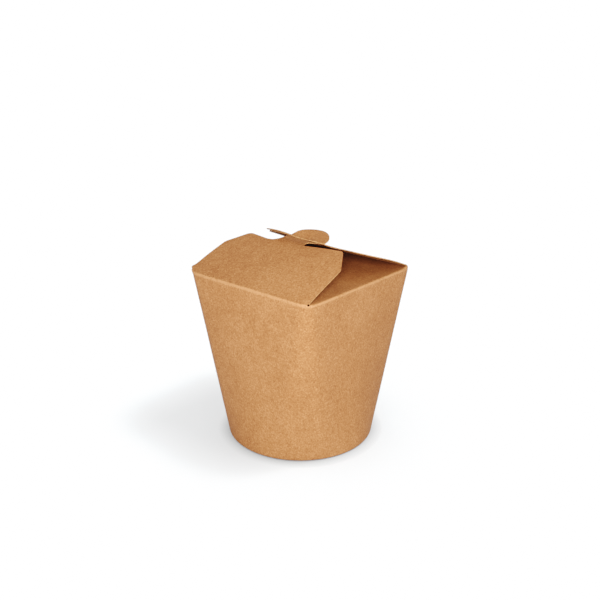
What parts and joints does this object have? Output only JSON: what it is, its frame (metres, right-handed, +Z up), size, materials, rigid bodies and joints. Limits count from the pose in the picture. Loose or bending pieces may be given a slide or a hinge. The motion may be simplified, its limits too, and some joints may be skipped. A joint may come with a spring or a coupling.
{
  "type": "takeaway noodle box",
  "caption": "Shut takeaway noodle box in brown kraft board, with a round base, a square rim and hooked top flaps locked in a low ridge.",
  "frame": {"origin": "centre of the round base, on the surface the box stands on", "axes": "+Z up; the two locking flaps are folded along X, with the near one on -Y and the far one on +Y; the two inner side flaps are folded along Y, on -X and +X"},
  "size_m": [0.09, 0.09, 0.121],
  "materials": {
    "kraft_board": "matt uncoated brown kraft board"
  },
  "bodies": {
    "root": {"noodle_box": "kraft_board"}
  },
  "joints": []
}
